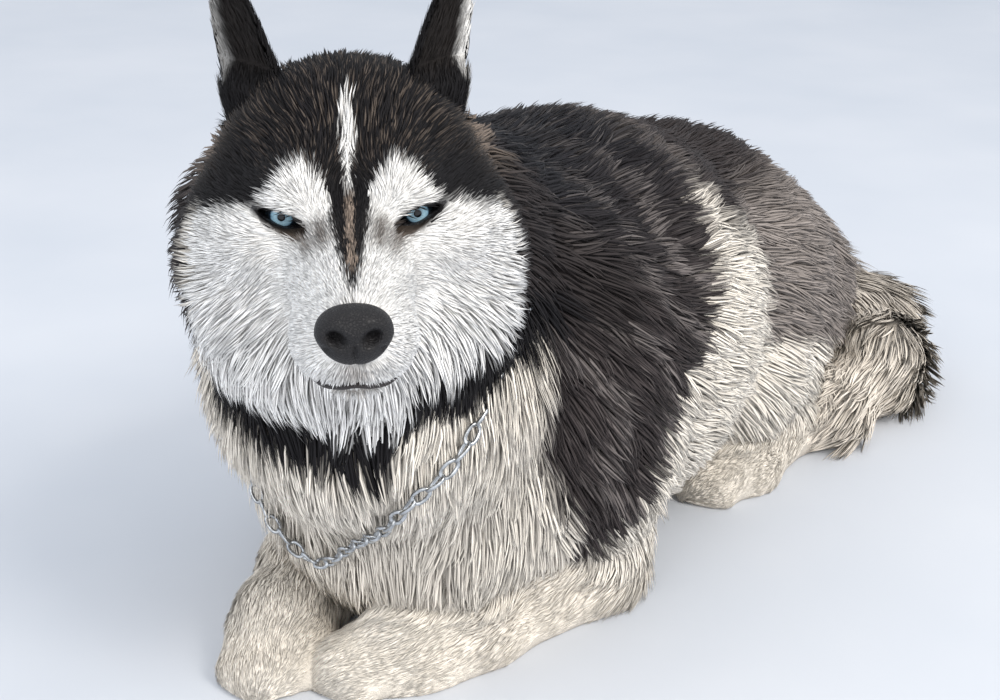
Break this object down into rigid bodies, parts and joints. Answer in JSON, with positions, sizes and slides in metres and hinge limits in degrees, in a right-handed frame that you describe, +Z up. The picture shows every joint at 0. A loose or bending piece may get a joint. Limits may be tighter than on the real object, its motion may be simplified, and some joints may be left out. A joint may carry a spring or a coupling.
{
  "type": "siberian husky lying",
  "caption": "still, life-size model of a siberian husky lying with its head turned to its left, wearing a chain collar",
  "frame": {"origin": "on the floor under the brisket, between the elbows", "axes": "the dog's chest faces -Y, its left is +X and +Z is up"},
  "size_m": [0.3745, 0.8708, 0.4693],
  "materials": {
    "coat": "dense double coat, black over white and cream, soft and matt",
    "nose_skin": "dark pebbled skin with a moist sheen",
    "eye": "pale blue iris under a clear wet cornea",
    "claw": "dark blunt horn",
    "chain": "bright steel wire, a little worn"
  },
  "bodies": {
    "root": {"chain_collar": "chain", "chest": "coat", "claw_foreleg_left_1": "claw", "claw_foreleg_left_2": "claw", "claw_foreleg_left_3": "claw", "claw_foreleg_left_4": "claw", "claw_foreleg_right_1": "claw", "claw_foreleg_right_2": "claw", "claw_foreleg_right_3": "claw", "claw_foreleg_right_4": "claw", "claw_hind_leg_left_1": "claw", "claw_hind_leg_left_2": "claw", "claw_hind_leg_left_3": "claw", "claw_hind_leg_left_4": "claw", "claw_hind_leg_right_1": "claw", "claw_hind_leg_right_2": "claw", "claw_hind_leg_right_3": "claw", "claw_hind_leg_right_4": "claw", "croup": "coat", "ear_left": "coat", "ear_right": "coat", "eye_left": "eye", "eye_right": "eye", "forearm_left": "coat", "forearm_right": "coat", "forepaw_left": "coat", "forepaw_right": "coat", "head": "coat", "hind_paw_left": "coat", "hind_paw_right": "coat", "loin": "coat", "neck": "coat", "nose": "nose_skin", "shank_left": "coat", "shank_right": "coat", "tail_base": "coat", "tail_middle": "coat", "tail_tip": "coat", "thigh_left": "coat", "thigh_right": "coat", "upper_foreleg_left": "coat", "upper_foreleg_right": "coat"}
  },
  "joints": []
}
